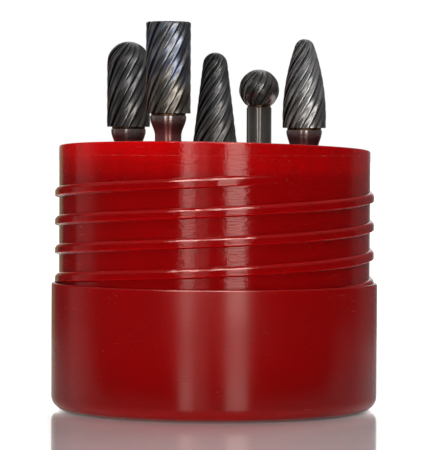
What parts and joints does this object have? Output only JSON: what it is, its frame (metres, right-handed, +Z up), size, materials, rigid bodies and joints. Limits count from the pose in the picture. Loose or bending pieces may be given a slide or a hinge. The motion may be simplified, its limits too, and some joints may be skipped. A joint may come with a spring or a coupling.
{
  "type": "rotary burr set",
  "caption": "Carbide rotary burrs with helical flutes, standing by their steel shanks in the open base of a round screw-top case with a coarse thread and a shoulder for its cap.",
  "frame": {"origin": "middle of the case's foot, on the surface it stands on", "axes": "+Z up along the case axis, -Y towards the picture's camera, +X to the right in the picture"},
  "size_m": [0.076, 0.076, 0.0892],
  "materials": {
    "case_plastic": "glossy moulded red plastic",
    "holder_plastic": "satin moulded black plastic",
    "carbide": "ground dark grey tungsten carbide",
    "braze": "silver-bronze braze filler",
    "shank_steel": "ground steel, heat tinted below the collar"
  },
  "bodies": {
    "case": {"case_base": "case_plastic", "burr_holder": "holder_plastic"},
    "cylinder_burr": {"cylinder_burr_head": "carbide", "cylinder_burr_braze": "braze", "cylinder_burr_shank": "shank_steel"},
    "tree_burr": {"tree_burr_head": "carbide", "tree_burr_braze": "braze", "tree_burr_shank": "shank_steel"},
    "ball_burr": {"ball_burr_head": "carbide", "ball_burr_braze": "braze", "ball_burr_shank": "shank_steel"},
    "ball_nose_burr": {"ball_nose_burr_head": "carbide", "ball_nose_burr_braze": "braze", "ball_nose_burr_shank": "shank_steel"},
    "taper_burr": {"taper_burr_head": "carbide", "taper_burr_braze": "braze", "taper_burr_shank": "shank_steel"}
  },
  "joints": [
    {"name": "cylinder_burr_lift", "type": "slide", "parent": "case", "child": "cylinder_burr", "axis": [0, 0, 1], "range_m": [0, 0.048]},
    {"name": "tree_burr_lift", "type": "slide", "parent": "case", "child": "tree_burr", "axis": [0, 0, 1], "range_m": [0, 0.048]},
    {"name": "ball_burr_lift", "type": "slide", "parent": "case", "child": "ball_burr", "axis": [0, 0, 1], "range_m": [0, 0.048]},
    {"name": "ball_nose_burr_lift", "type": "slide", "parent": "case", "child": "ball_nose_burr", "axis": [0, 0, 1], "range_m": [0, 0.048]},
    {"name": "taper_burr_lift", "type": "slide", "parent": "case", "child": "taper_burr", "axis": [0, 0, 1], "range_m": [0, 0.048]}
  ]
}
